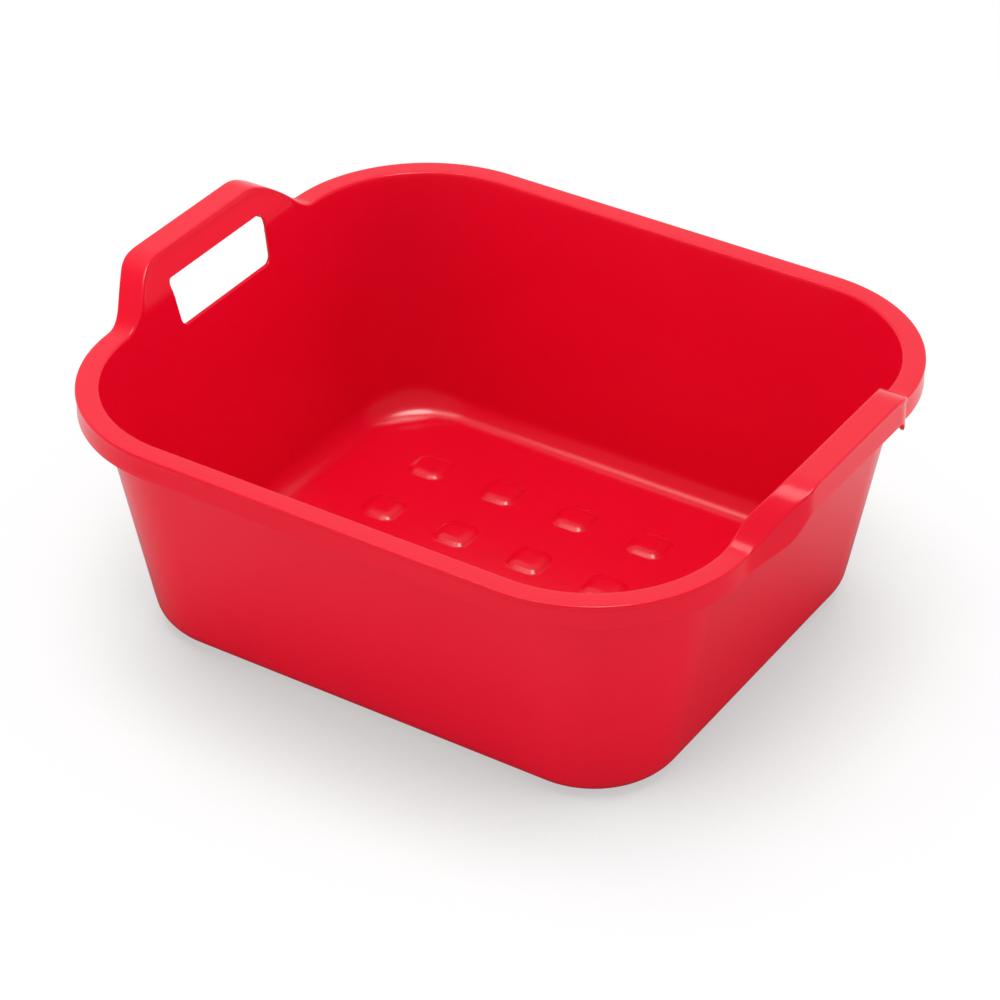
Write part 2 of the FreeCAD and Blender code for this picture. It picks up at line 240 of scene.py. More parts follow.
def mirror(bm, axis):
    """Adds the mirror image across a middle plane and joins it there."""
    bmesh.ops.mirror(bm, geom=whole(bm), matrix=Matrix.Identity(4), merge_dist=JOIN_DISTANCE, axis=axis)


print("Each step round a corner turns", 90 / CORNER_STEPS, "degrees")

# %% [markdown]
# ## How the rim rises into a handle
# At each end the rim climbs, runs level as a bar and comes down again, and the wall below it leans out.
# Modelling that by hand would need a new template at every step. Instead everything is swept as if the
# rim were level, and one rule then bends the points: it lifts the rim along a soft ramp and carries its
# outer edge outward, stretches the wall below to follow, and tips the wall out above a knee. The flange
# between the two gets wider on the way, which makes the bar kinder to the hand. Because every wall, rim
# and handle goes through the same rule, they still meet after the bend.
#
# Places along a handle are distances from its middle. A foot is where a slope starts and a top is where
# it ends, and a softness is half the length over which the slope turns.

# %% Ramps along a handle

LEG_FOOT = 73.8 * MM
LEG_TOP = 50.2 * MM
FOOT_SOFTNESS = 7.2 * MM
TOP_SOFTNESS = 13.3 * MM
LEAN_FOOT = 74.0 * MM
LEAN_TOP = 48.0 * MM
LEAN_TOP_SOFTNESS = 5.0 * MM
SKIRT_FOOT = 78.0 * MM
SKIRT_TURN = 55.0 * MM
SKIRT_TOP = 46.5 * MM
SKIRT_SOFTNESS = 4.0 * MM
SKIRT_TURN_RISE = 10.0 * MM
BAR_SKIRT_DROP = 2.0 * MM
SKIRT_RISE = HANDLE_RISE - BAR_SKIRT_DROP


def soft_ramp(run, softness):
    """Zero before the ramp's foot and the run itself after it, with a rounded start."""
    if run <= -softness:
        return 0.0
    if run >= softness:
        return run
    return (run + softness) ** 2 / (4 * softness)


def leg_share(along, foot, top, top_softness):
    """How far up a leg a place is, from 0 at its foot to 1 on the bar."""
    climb = soft_ramp(foot - along, FOOT_SOFTNESS) - soft_ramp(top - along, top_softness)
    return climb / (foot - top)


def rim_rise(along):
    """Height that the rim gains."""
    return HANDLE_RISE * leg_share(along, LEG_FOOT, LEG_TOP, TOP_SOFTNESS)


def rim_lean(along):
    """How far out the rim's outer edge is carried; seen from above, the bar ends in tighter bends."""
    return HANDLE_REACH * leg_share(along, LEAN_FOOT, LEAN_TOP, LEAN_TOP_SOFTNESS)


def skirt_rise(along):
    """Height that the skirt's lower edge gains: gently along the leg, then steeply up to the bar."""
    gentle = SKIRT_TURN_RISE / (SKIRT_FOOT - SKIRT_TURN)
    steep = (SKIRT_RISE - SKIRT_TURN_RISE) / (SKIRT_TURN - SKIRT_TOP)
    leg = gentle * soft_ramp(SKIRT_FOOT - along, SKIRT_SOFTNESS)
    turn_up = (steep - gentle) * soft_ramp(SKIRT_TURN - along, SKIRT_SOFTNESS)
    return leg + turn_up - steep * soft_ramp(SKIRT_TOP - along, SKIRT_SOFTNESS)


print("The bar of the handle overhangs the rim by", round(HANDLE_REACH / MM, 1), "mm")

# %% The bending rule

BAR_WIDENING = 3.0 * MM
KNEE_Z = 145.5 * MM
KNEE_SOFTNESS = 3.5 * MM
FLANGE_Z = RIM_Z - FLANGE_THICKNESS
SKIRT_INNER = RIM_REACH - SKIRT_THICKNESS
SKIRT_START = (MOUTH_REACH + WALL_THICKNESS + SKIRT_INNER) / 2
KNEE_LEAN = (HANDLE_REACH - BAR_WIDENING - DRAFT * HANDLE_RISE) / (FLANGE_Z + HANDLE_RISE - KNEE_Z)


def within(value, low, high):
    """The value itself, or the nearer limit if it lies outside."""
    return max(low, min(high, value))


def bent_height(level, reach, along):
    """Height of a point after the bend: the flange rises, and the skirt and the wall stretch with it."""
    rise = rim_rise(along)
    flange = FLANGE_Z + rise
    if level >= FLANGE_Z:
        return level + rise
    if reach > SKIRT_START:
        hang = (FLANGE_Z - level) / (FLANGE_Z - SKIRT_Z)
        return flange - hang * (flange - SKIRT_Z - skirt_rise(along))
    share = (level - SEAT_Z) / (FLANGE_Z - SEAT_Z)
    return SEAT_Z + share * (flange - SEAT_Z)


def bent_reach(level, height, reach, along):
    """Reach of a point after the bend: the wall tips out and the flange spans from it to the skirt."""
    rise = rim_rise(along)
    wall = outer_reach(level)
    across = within((reach - wall) / (SKIRT_INNER - wall), 0, 1)
    past_knee = soft_ramp(min(height, FLANGE_Z + rise) - KNEE_Z, KNEE_SOFTNESS)
    wall_lean = DRAFT * min(rise, height - level) + KNEE_LEAN * past_knee
    return reach + wall_lean + across * (rim_lean(along) - wall_lean)


def bend(place):
    """Where a point of the level moulding goes once the handles rise."""
    spine = Vector((within(place.x, -SPINE_X, SPINE_X), within(place.y, -SPINE_Y, SPINE_Y), 0))
    outward = Vector((place.x, place.y, 0)) - spine
    reach = outward.length
    outward.normalize()
    spread = BASE_SPREAD * within((RIM_Z - place.z) / (RIM_Z - HEEL_Z), 0, 1) * spine.x / SPINE_X
    height = place.z
    if place.z > SEAT_Z and abs(outward.x) > 0:
        past_corner = math.atan2(abs(outward.y), abs(outward.x)) * RIM_REACH
        along = abs(spine.y) + past_corner
        height = bent_height(place.z, reach, along)
        reach = bent_reach(place.z, height, reach, along)
    return Vector((spine.x + spread + outward.x * reach, spine.y + outward.y * reach, height))


def bend_all(bm):
    """Bends every point of a piece that was swept level."""
    for vert in bm.verts:
        vert.co = bend(vert.co)


print("Above its knee the wall leans out by", round(KNEE_LEAN, 2), "for each unit of height")

# %% [markdown]
# ## From bmesh to a finished piece
# Each piece ends the same way: its faces are turned outward and shaded smooth, and only edges that really
# are sharp stay sharp. The piece then rides on the only body and hides its solid.

# %% Finish a piece

SHARP_ANGLE = math.radians(40)
pieces = []


def plain_object(bm, name):
    """Makes an object of a bmesh, which is used up."""
    mesh = bpy.data.meshes.new(name)
    bm.to_mesh(mesh)
    bm.free()
    thing = bpy.data.objects.new(name, mesh)
    bpy.context.scene.collection.objects.link(thing)
    return thing


def finish_piece(bm, name, *nodes):
    """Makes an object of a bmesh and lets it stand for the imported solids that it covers."""
    bmesh.ops.recalc_face_normals(bm, faces=bm.faces[:])
    for face in bm.faces:
        face.smooth = True
    for edge in bm.edges:
        edge.smooth = edge.calc_face_angle(math.pi) < SHARP_ANGLE
    open_edges = sum(not edge.is_manifold for edge in bm.edges)
    piece = plain_object(bm, name)
    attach(piece, "root")
    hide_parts(*nodes)
    pieces.append(piece)
    print(f"{name}: {len(piece.data.polygons)} faces, {open_edges} open edges")


def flip(bm, axis):
    """Moves a bmesh to the opposite side of the bowl."""
    size = Vector((-1 if axis == "X" else 1, -1 if axis == "Y" else 1, 1))
    bmesh.ops.scale(bm, verts=bm.verts[:], vec=size)


def make_pair(make, axis, near_name, far_name):
    """Makes a piece and its mirror image on the opposite side."""
    near = make()
    finish_piece(near, f"{near_name}_shell", near_name)
    far = make()
    flip(far, axis)
    finish_piece(far, f"{far_name}_shell", far_name)


# %% [markdown]
# ## Walls
# The wall leans out by about one part in five, so that bowls stack and leave the mould. At the bottom it
# turns through a large radius into a narrow flat ring that the bowl stands on, and inside it turns into
# the floor. The front template runs from the middle, round the corner, to the plane where the end wall
# starts, and the mirror makes the other half. The hollow between wall and floor is rounder in the corners
# than along the sides, so its points there are then moved away from the edge where wall and floor would
# meet. The end walls only need a straight sweep.

# %% The section of a wall

BASE_RADIUS = 16 * MM
FLOOR_RADIUS = 13.5 * MM
FOOT_RADIUS = 0.8 * MM
WALL_STRETCH = 6 * MM


def wall_section(top):
    """Section of a wall from the floor panel's edge up to a height."""
    return template(
        [
            (PANEL_REACH, PANEL_Z, 0),
            (PANEL_REACH, 0, FOOT_RADIUS),
            (BASE_REACH, 0, BASE_RADIUS),
            (outer_reach(top), top, 0),
            (inner_reach(top), top, 0),
            (inner_reach(FLOOR_Z), FLOOR_Z, FLOOR_RADIUS),
            (PANEL_REACH, FLOOR_Z, 0),
        ],
        WALL_STRETCH,
    )


print("The ring that the bowl stands on starts", round(PANEL_REACH / MM, 1), "mm out from the spine")

# %% Run a template round the front, or move it to an end

CORNER = Vector((SPINE_X, -SPINE_Y, 0))
LAST_TURN = SEAM_STEP / RIM_REACH


def run_front(bm):
    """Sweeps a template from the middle of the front to the seam at the end wall, and mirrors it."""
    outline = slide(bm, whole(bm), Vector((SPINE_X, 0, 0)), FRONT_STEPS)
    outline = turn(bm, outline, CORNER, math.pi / 2 - LAST_TURN, CORNER_STEPS)
    cap(bm, turn(bm, outline, CORNER, LAST_TURN, 1))
    mirror(bm, "X")


def move_to_end(bm):
    """Turns a template from the front to the start of the right-hand end."""
    bmesh.ops.translate(bm, verts=bm.verts[:], vec=(SPINE_X, 0, 0))
    bmesh.ops.rotate(bm, verts=bm.verts[:], cent=CORNER, matrix=Matrix.Rotation(math.pi / 2, 3, "Z"))


print("Corners turn about", [round(side, 4) for side in CORNER])

# %% Make the hollow rounder in the corners

HOLLOW_SWELL = 0.45
SWELL_SOFTNESS = 1.5
HOLLOW_SPAN = FLOOR_RADIUS * math.tan((math.pi / 2 - math.atan(DRAFT)) / 2)
HOLLOW_LIMIT = inner_reach(FLOOR_Z) - PANEL_REACH


def swell_distance(distance, swell):
    """Stretches the rounding itself and squeezes the flat stretch beside it, up to a limit."""
    if distance <= HOLLOW_SPAN:
        return swell * distance
    left = (HOLLOW_LIMIT - distance) / (HOLLOW_LIMIT - HOLLOW_SPAN)
    return HOLLOW_LIMIT - left * (HOLLOW_LIMIT - swell * HOLLOW_SPAN)


def swell_corner_hollows(bm):
    """Makes the rounding between wall and floor larger towards the middle of each corner."""
    bmesh.ops.recalc_face_normals(bm, faces=bm.faces[:])
    bm.normal_update()
    for vert in bm.verts:
        spine = Vector((math.copysign(SPINE_X, vert.co.x), -SPINE_Y, 0))
        outward = Vector((vert.co.x, vert.co.y, 0)) - spine
        in_corner = outward.x * vert.co.x > 0 and outward.y < 0
        reach = outward.length
        from_edge = Vector((reach - inner_reach(FLOOR_Z), vert.co.z - FLOOR_Z))
        if in_corner and vert.normal.z > 0 and from_edge.length < HOLLOW_LIMIT:
            outward.normalize()
            into_corner = 2 * abs(outward.x * outward.y)
            swell = 1 + HOLLOW_SWELL * into_corner ** SWELL_SOFTNESS
            from_edge *= swell_distance(from_edge.length, swell) / from_edge.length
            vert.co = spine + outward * (inner_reach(FLOOR_Z) + from_edge.x)
            vert.co.z = FLOOR_Z + from_edge.y


print("The hollow starts", round(HOLLOW_SPAN / MM, 1), "mm from the edge, and further in the corners")

# %% Make the four walls

BAND_Z = 132 * MM
END_STEPS = 24


def make_front_wall():
    """Front wall with both front corners."""
    bm = wall_section(BAND_Z)
    run_front(bm)
    swell_corner_hollows(bm)
    bend_all(bm)
    return bm


def make_right_wall():
    """Flat end wall under the right handle."""
    bm = wall_section(SEAT_Z)
    move_to_end(bm)
    start = whole(bm)
    end = slide(bm, start, Vector((0, 2 * SPINE_Y, 0)), END_STEPS)
    cap(bm, start)
    cap(bm, end)
    bend_all(bm)
    return bm


make_pair(make_front_wall, "Y", "front_wall", "back_wall")
make_pair(make_right_wall, "X", "right_wall", "left_wall")

# %% [markdown]
# ## Front and back rims
# The rim is a flat flange with a skirt hanging from its outer edge, which makes the thin wall stiff. The
# flange ends in a fine lip that stands a little proud of the skirt and draws a thin dark line under it.
# The template starts a few millimetres down the wall, where the wall is still straight, so that the join
# falls on a flat stretch and not on the rounding of the mouth.

# %% Make the rims

MOUTH_RADIUS = 1.5 * MM
LIP_RADIUS = 0.9 * MM
LIP_EDGE_RADIUS = 0.35 * MM
LIP_STEP = 0.5 * MM
LIP_DEPTH = 2.0 * MM
SKIRT_EDGE_RADIUS = 0.7 * MM
UNDER_RADIUS = 1.2 * MM
RIM_STRETCH = 2.5 * MM
SKIRT_OUT = RIM_REACH - LIP_STEP
SKIRT_IN = SKIRT_OUT - SKIRT_THICKNESS


def rim_corners(bottom):
    """Corners of the rim's section, from its inner face over the flange and skirt to its outer face."""
    return [
        (inner_reach(bottom), bottom, 0),
        (inner_reach(RIM_Z), RIM_Z, MOUTH_RADIUS),
        (RIM_REACH, RIM_Z, LIP_RADIUS),
        (RIM_REACH, RIM_Z - LIP_DEPTH, LIP_EDGE_RADIUS),
        (SKIRT_OUT, RIM_Z - LIP_DEPTH - LIP_STEP, LIP_EDGE_RADIUS),
        (SKIRT_OUT, SKIRT_Z, SKIRT_EDGE_RADIUS),
        (SKIRT_IN, SKIRT_Z, SKIRT_EDGE_RADIUS),
        (SKIRT_IN, FLANGE_Z, UNDER_RADIUS),
        (outer_reach(FLANGE_Z), FLANGE_Z, UNDER_RADIUS),
        (outer_reach(bottom), bottom, 0),
    ]


def make_front_rim():
    """Flange and skirt along the front and round both front corners."""
    bm = template(rim_corners(BAND_Z), RIM_STRETCH)
    run_front(bm)
    bend_all(bm)
    return bm


make_pair(make_front_rim, "Y", "front_rim", "back_rim")

# %% [markdown]
# ## Handles
# A handle is the rim's own section with a longer piece of wall below it, so the same template serves,
# started lower down. It is swept straight along half of the end, mirrored, and bent. The hand-hole is cut
# last with a Boolean, because a round-cornered opening through two bent faces would need its own mesh
# layout otherwise. Its edges then get a small bevel, as the moulded edge is never knife sharp.

# %% Sweep a handle

HANDLE_STRETCH = 1.5 * MM
HANDLE_STEPS = 52


def handle_blank():
    """The bent handle, still without its hole."""
    bm = template(rim_corners(SEAT_Z), HANDLE_STRETCH)
    move_to_end(bm)
    start = whole(bm)
    outline = slide(bm, start, Vector((0, SEAM_STEP, 0)), 1)
    cap(bm, start)
    slide(bm, outline, Vector((0, SPINE_Y - SEAM_STEP, 0)), HANDLE_STEPS)
    mirror(bm, "Y")
    bend_all(bm)
    bmesh.ops.recalc_face_normals(bm, faces=bm.faces[:])
    return bm


# %% Shape the cutter for the hand-hole

HOLE_LOW_Z = 123.6 * MM
HOLE_HIGH_Z = 149.6 * MM
HOLE_LOW_WIDTH = 75 * MM
HOLE_HIGH_WIDTH = 80 * MM
HOLE_RADIUS = 4 * MM
HOLE_STEPS = 8


def hole_cutter():
    """Round-cornered bar along X, wider at its top, that stops short of the skirt outside the hole."""
    bm = bmesh.new()
    bmesh.ops.create_cube(bm, size=1)
    for vert in bm.verts:
        high = vert.co.z > 0
        width = HOLE_HIGH_WIDTH if high else HOLE_LOW_WIDTH
        reach = RIM_REACH if vert.co.x > 0 else MOUTH_REACH / 2
        vert.co = (SPINE_X + reach, vert.co.y * width, HOLE_HIGH_Z if high else HOLE_LOW_Z)
    along = [edge for edge in bm.edges if abs(edge.verts[0].co.x - edge.verts[1].co.x) > HOLE_RADIUS]
    bevel(bm, along, "EDGES", HOLE_RADIUS, HOLE_STEPS)
    bmesh.ops.recalc_face_normals(bm, faces=bm.faces[:])
    return bm


print("Height of the hand-hole:", round((HOLE_HIGH_Z - HOLE_LOW_Z) / MM, 1), "mm")

# %% Soften the edge of the hand-hole

HOLE_EDGE_RADIUS = 0.6 * MM
HOLE_EDGE_STEPS = 3
HOLE_SEARCH = 2 * MM


def on_hole_edge(edge):
    """True for the edges where the hole's sides meet the faces of the plate."""
    middle = (edge.verts[0].co + edge.verts[1].co) / 2
    wide = abs(middle.y) < HOLE_HIGH_WIDTH / 2 + HOLE_SEARCH
    high = HOLE_LOW_Z - HOLE_SEARCH < middle.z < HOLE_HIGH_Z + HOLE_SEARCH
    return wide and high and edge.calc_face_angle(0) > SHARP_ANGLE


def soften_hole(bm):
    """Gives the edges of the hand-hole a small radius."""
    rims = [edge for edge in bm.edges if on_hole_edge(edge)]
    bevel(bm, rims, "EDGES", HOLE_EDGE_RADIUS, HOLE_EDGE_STEPS)
    print("Hand-hole edges softened:", len(rims))


# %% Cut and finish both handles


def make_right_handle():
    """Right handle with its hand-hole."""
    blank = plain_object(handle_blank(), "handle_blank")
    cutter = plain_object(hole_cutter(), "hole_cutter")
    cut = blank.modifiers.new("hand_hole", "BOOLEAN")
    cut.object = cutter
    cut.operation = "DIFFERENCE"
    cut.solver = "EXACT"
    bpy.context.view_layer.update()
    depsgraph = bpy.context.evaluated_depsgraph_get()
    cut_mesh = bpy.data.meshes.new_from_object(blank.evaluated_get(depsgraph))
    bm = bmesh.new()
    bm.from_mesh(cut_mesh)
    for thing in (blank, cutter):
        bpy.data.objects.remove(thing)
    soften_hole(bm)
    return bm


make_pair(make_right_handle, "X", "right_handle", "left_handle")

# %% [markdown]
# ## Floor panel
# The floor is a plain sheet, raised a little inside the standing ring. Its outline is four corners with a
# vertex bevel, and an extrusion gives it thickness. The corners have the radius of the wall's template at
# that reach, so the panel drops into the opening that the four walls leave.

# %% Make the floor panel

PANEL_STEPS = 24


def round_rectangle(bm, half_x, half_y, radius, height, steps):
    """Flat face with round corners."""
    signs = ((-1, -1), (1, -1), (1, 1), (-1, 1))
    corners = [bm.verts.new((across * half_x, along * half_y, height)) for across, along in signs]
    face = bm.faces.new(corners)
    bevel(bm, face.verts[:], "VERTICES", radius, steps)
    return bm.faces[:]


def make_floor_panel():
    """Flat floor of the bowl."""
    bm = bmesh.new()
    half_x = panel_high[0]
    half_y = panel_high[1]
    sheet = round_rectangle(bm, half_x, half_y, PANEL_REACH, PANEL_Z, PANEL_STEPS)
    risen = bmesh.ops.extrude_face_region(bm, geom=sheet, use_keep_orig=True)
    top = only(bmesh.types.BMVert, risen["geom"])
    bmesh.ops.translate(bm, verts=top, vec=(0, 0, FLOOR_Z - PANEL_Z))
    return bm


finish_piece(make_floor_panel(), "base_panel_shell", "base_panel")

# %% [markdown]
# ## Floor bumps
# Rows of low rounded squares keep the dishes off the floor so that water runs out from under them. One
# bump is a rounded face that is inset and raised in small steps. The steps are steepest a little above the
# floor and level off towards the top, so each bump is a soft pillow with a fine bright edge. Copies fill
# the grid.

# %% Shape one bump

BUMP_WIDTH = 21 * MM
BUMP_RADIUS = 6.6 * MM
BUMP_FOOT = 0.6 * MM
BUMP_RISE = bumps_high[2] - FLOOR_Z
BUMP_SLOPE = math.radians(31)
BUMP_STEPS = 14
BUMP_ROUND_STEPS = 8
STEEPEST_SHARE = 0.14


def bump_slopes():
    """Slope of each step from the foot of a bump to its top."""
    shares = [(step + 0.5) / BUMP_STEPS for step in range(BUMP_STEPS)]
    tilts = [min(share / STEEPEST_SHARE, (1 - share) / (1 - STEEPEST_SHARE)) for share in shares]
    return [math.tan(BUMP_SLOPE * tilt) for tilt in tilts]


def make_bump():
    """One bump in the middle of the floor."""
    bm = bmesh.new()
    half = BUMP_WIDTH / 2 + BUMP_FOOT
    face = round_rectangle(bm, half, half, BUMP_RADIUS + BUMP_FOOT, FLOOR_Z, BUMP_ROUND_STEPS)
    risen = bmesh.ops.extrude_face_region(bm, geom=face, use_keep_orig=True)
    top = only(bmesh.types.BMFace, risen["geom"])
    slopes = bump_slopes()
    width = BUMP_RISE / sum(slopes)
    for slope in slopes:
        bmesh.ops.inset_region(bm, faces=top, thickness=width, depth=width * slope)
    print("Width of a bump's side:", round(width * BUMP_STEPS / MM, 1), "mm")
    return bm


# %% Fill the grid with bumps

BUMP_COLUMNS = 5
BUMP_ROWS = (-70 * MM, -25 * MM, 25 * MM, 70 * MM)


def make_floor_bumps():
    """All the bumps, copied from one pattern that is then taken away."""
    bm = make_bump()
    first = whole(bm)
    pitch = (bumps_high[0] - bumps_low[0] - BUMP_WIDTH) / (BUMP_COLUMNS - 1)
    for column in range(BUMP_COLUMNS):
        for row in BUMP_ROWS:
            copy = bmesh.ops.duplicate(bm, geom=first)["geom"]
            middle = (bumps_low[0] + BUMP_WIDTH / 2 + column * pitch, row, 0)
            bmesh.ops.translate(bm, verts=only(bmesh.types.BMVert, copy), vec=middle)
    bmesh.ops.delete(bm, geom=only(bmesh.types.BMVert, first), context="VERTS")
    return bm


finish_piece(make_floor_bumps(), "floor_bumps_shell", "floor_bumps")

# %% [markdown]
# ## Red plastic
# The bowl is polypropylene with the pigment mixed in, so the colour is deep and even, with a satin gloss.
# Up close a moulding isn't perfect: the steel of the mould leaves a very fine grain, the pigment drifts
# a little where the plastic flowed, and use leaves faint scuffs that dull the gloss. These three effects
# are one node group, fed with Object coordinates so that they run on from piece to piece.

# %% A node group for the moulded surface

NOISES = {
    "Grain": {"scale": 900.0, "detail": 3.0, "roughness": 0.6, "distortion": 0.0},
    "Drift": {"scale": 9.0, "detail": 2.0, "roughness": 0.5, "distortion": 1.2},
    "Scuff": {"scale": 60.0, "detail": 5.0, "roughness": 0.7, "distortion": 2.0},
}
SCUFF_START = 0.56
SCUFF_FULL = 0.78


def add_node(tree, kind, **settings):
    """Adds a node and sets its inputs by name, or its properties where no input has that name."""
    node = tree.nodes.new(kind)
    for name, setting in settings.items():
        label = name.replace("_", " ").title()
        if label in node.inputs:
            node.inputs[label].default_value = setting
        else:
            setattr(node, name, setting)
    return node


def moulded_surface_group():
    """Node group that turns a place into the strength of each effect; scuffs are kept sparse."""
    group = bpy.data.node_groups.new("moulded_surface", "ShaderNodeTree")
    link = group.links.new
    group.interface.new_socket("Vector", in_out="INPUT", socket_type="NodeSocketVector")
    for effect, settings in NOISES.items():
        scale = group.interface.new_socket(f"{effect} Scale", in_out="INPUT", socket_type="NodeSocketFloat")
        scale.default_value = settings["scale"]
        group.interface.new_socket(effect, in_out="OUTPUT", socket_type="NodeSocketFloat")
    source = group.nodes.new("NodeGroupInput")
    sink = group.nodes.new("NodeGroupOutput")
    strength = {}
    for effect, settings in NOISES.items():
        noise = add_node(group, "ShaderNodeTexNoise", **settings)
        link(source.outputs["Vector"], noise.inputs["Vector"])
        link(source.outputs[f"{effect} Scale"], noise.inputs["Scale"])
        strength[effect] = noise.outputs["Fac"]
    sparse = add_node(group, "ShaderNodeMapRange", from_min=SCUFF_START, from_max=SCUFF_FULL)
    link(strength["Scuff"], sparse.inputs["Value"])
    strength["Scuff"] = sparse.outputs["Result"]
    for effect, output in strength.items():
        link(output, sink.inputs[effect])
    return group


moulded_surface = moulded_surface_group()
print("Node group:", moulded_surface.name)

# %% The red plastic itself

DEEP_RED = (0.75, 0.0015, 0.020, 1)
BRIGHT_RED = (0.80, 0.0025, 0.024, 1)
GLOSS_ROUGHNESS = 0.2
SCUFFED_ROUGHNESS = 0.24
GRAIN_BUMP_STRENGTH = 0.04
GRAIN_BUMP_HEIGHT = 0.05 * MM
SPECULAR_LEVEL = 0.5


def red_plastic():
    """Material of the whole moulding."""
    material = bpy.data.materials.new("red_plastic_moulded")
    material.use_nodes = True
    tree = material.node_tree
    link = tree.links.new
    shader = tree.nodes["Principled BSDF"]
    shader.inputs["Specular IOR Level"].default_value = SPECULAR_LEVEL
    place = tree.nodes.new("ShaderNodeTexCoord")
    surface = tree.nodes.new("ShaderNodeGroup")
    surface.node_tree = moulded_surface
    tint = tree.nodes.new("ShaderNodeMix")
    tint.data_type = "RGBA"
    tint.inputs["A"].default_value = DEEP_RED
    tint.inputs["B"].default_value = BRIGHT_RED
    gloss = add_node(tree, "ShaderNodeMapRange", to_min=GLOSS_ROUGHNESS, to_max=SCUFFED_ROUGHNESS)
    bump = add_node(tree, "ShaderNodeBump", strength=GRAIN_BUMP_STRENGTH, distance=GRAIN_BUMP_HEIGHT)
    link(place.outputs["Object"], surface.inputs["Vector"])
    link(surface.outputs["Drift"], tint.inputs["Factor"])
    link(tint.outputs["Result"], shader.inputs["Base Color"])
    link(surface.outputs["Scuff"], gloss.inputs["Value"])
    link(gloss.outputs["Result"], shader.inputs["Roughness"])
    link(surface.outputs["Grain"], bump.inputs["Height"])
    link(bump.outputs["Normal"], shader.inputs["Normal"])
    return material


plastic = red_plastic()
for piece in pieces:
    piece.data.materials.clear()
    piece.data.materials.append(plastic)
print("Pieces in red plastic:", len(pieces))

# %% [markdown]
# ## Table and backdrop
# The bowl stands on a white table in front of a white backdrop, and the room behind the camera is dim.
# That dimness matters as much as the white: a glossy face that mirrors the backdrop turns pale, and one
# that mirrors the room stays deep red, so the form can be read. The table's glow in reflections is painted
# shade: it is set dim in front of the bowl and bright behind it. The camera sees the table as white with
# a neutral soft shadow round the base, partly a real shadow from the lamps and partly a painted shadow, a
# glow that is dimmed by how much of the sky the bowl hides.

# %% Helpers for what is seen and what only lights

def seen_rays(tree):
    """Output that is 1 for what the camera, gloss or glass shows, and 0 for all other light."""
    path = tree.nodes.new("ShaderNodeLightPath")
    gloss = add_node(tree, "ShaderNodeMath", operation="MAXIMUM")
    seen = add_node(tree, "ShaderNodeMath", operation="MAXIMUM")
    tree.links.new(path.outputs["Is Glossy Ray"], gloss.inputs[0])
    tree.links.new(path.outputs["Is Transmission Ray"], gloss.inputs[1])
    tree.links.new(path.outputs["Is Camera Ray"], seen.inputs[0])
    tree.links.new(gloss.outputs["Value"], seen.inputs[1])
    return seen.outputs["Value"]


def level_range(tree, measure, span, levels, shape="LINEAR"):
    """Turns a measure that runs over a span into a level between two others."""
    ranged = add_node(tree, "ShaderNodeMapRange", interpolation_type=shape)
    ranged.inputs["From Min"].default_value, ranged.inputs["From Max"].default_value = span
    ranged.inputs["To Min"].default_value, ranged.inputs["To Max"].default_value = levels
    tree.links.new(measure, ranged.inputs["Value"])
    return ranged.outputs["Result"]


def backward(tree, vector):
    """How far a place or a direction lies towards the backdrop, away from the camera."""
    along = add_node(tree, "ShaderNodeVectorMath", operation="DOT_PRODUCT")
    along.inputs[1].default_value = (-math.sin(CAMERA_AZIMUTH), math.cos(CAMERA_AZIMUTH), 0)
    tree.links.new(vector, along.inputs[0])
    return along.outputs["Value"]


# %% The white table

FLOOR_HALF = 6.0
FLOOR_COLOUR = (0.90, 0.90, 0.90, 1)
FLOOR_ROUGHNESS = 0.9
WHITE = (1, 1, 1, 1)
WHITE_SHARE = 0.85
SHADOW_REACH = 0.4
SHADOW_SAMPLES = 16
SHADOW_OPENNESS = (0.36, 0.72)
SHADOW_LEVELS = (0.60, 1.0)
MIRROR_OPENNESS = (0.45, 0.95)
MIRROR_SPAN = (-0.16, 0.1)
MIRROR_LEVELS = (0.06, 0.85)


def table_glow(tree):
    """Glow of the table: white with a painted shadow for the camera, painted dim in front for reflections.
    """
    link = tree.links.new
    path = tree.nodes.new("ShaderNodeLightPath")
    place = tree.nodes.new("ShaderNodeNewGeometry")
    open_sky = add_node(tree, "ShaderNodeAmbientOcclusion", samples=SHADOW_SAMPLES, distance=SHADOW_REACH)
    # Painted shadow: the camera sees the table's glow dimmed where the bowl hides the sky.
    shade = level_range(tree, open_sky.outputs["AO"], SHADOW_OPENNESS, SHADOW_LEVELS)
    clear_of_bowl = level_range(tree, open_sky.outputs["AO"], MIRROR_OPENNESS, (0, 1))
    # Painted shade in reflections: the table's glow is dimmer in front of the bowl than behind it.
    painted_table_shade = level_range(tree, backward(tree, place.outputs["Position"]), MIRROR_SPAN, MIRROR_LEVELS)
    mirrored = add_node(tree, "ShaderNodeMath", operation="MULTIPLY")
    level = tree.nodes.new("ShaderNodeMix")
    link(clear_of_bowl, mirrored.inputs[0])
    link(painted_table_shade, mirrored.inputs[1])
    link(path.outputs["Is Camera Ray"], level.inputs["Factor"])
    link(mirrored.outputs["Value"], level.inputs["A"])
    link(shade, level.inputs["B"])
    return level.outputs["Result"]


def white_table():
    """Material that lights the bowl as matt white does and glows where it is seen or mirrored."""
    material = bpy.data.materials.new("white_table")
    material.use_nodes = True
    tree = material.node_tree
    link = tree.links.new
    shader = tree.nodes["Principled BSDF"]
    shader.inputs["Base Color"].default_value = FLOOR_COLOUR
    shader.inputs["Roughness"].default_value = FLOOR_ROUGHNESS
    shader.inputs["Specular IOR Level"].default_value = 0.0
    white = add_node(tree, "ShaderNodeEmission", color=WHITE)
    share = add_node(tree, "ShaderNodeMath", operation="MULTIPLY")
    share.inputs[1].default_value = WHITE_SHARE
    mix = tree.nodes.new("ShaderNodeMixShader")
    link(table_glow(tree), white.inputs["Strength"])
    link(seen_rays(tree), share.inputs[0])
    link(share.outputs["Value"], mix.inputs["Fac"])
    link(shader.outputs["BSDF"], mix.inputs[1])
    link(white.outputs["Emission"], mix.inputs[2])
    link(mix.outputs["Shader"], tree.nodes["Material Output"].inputs["Surface"])
    return material


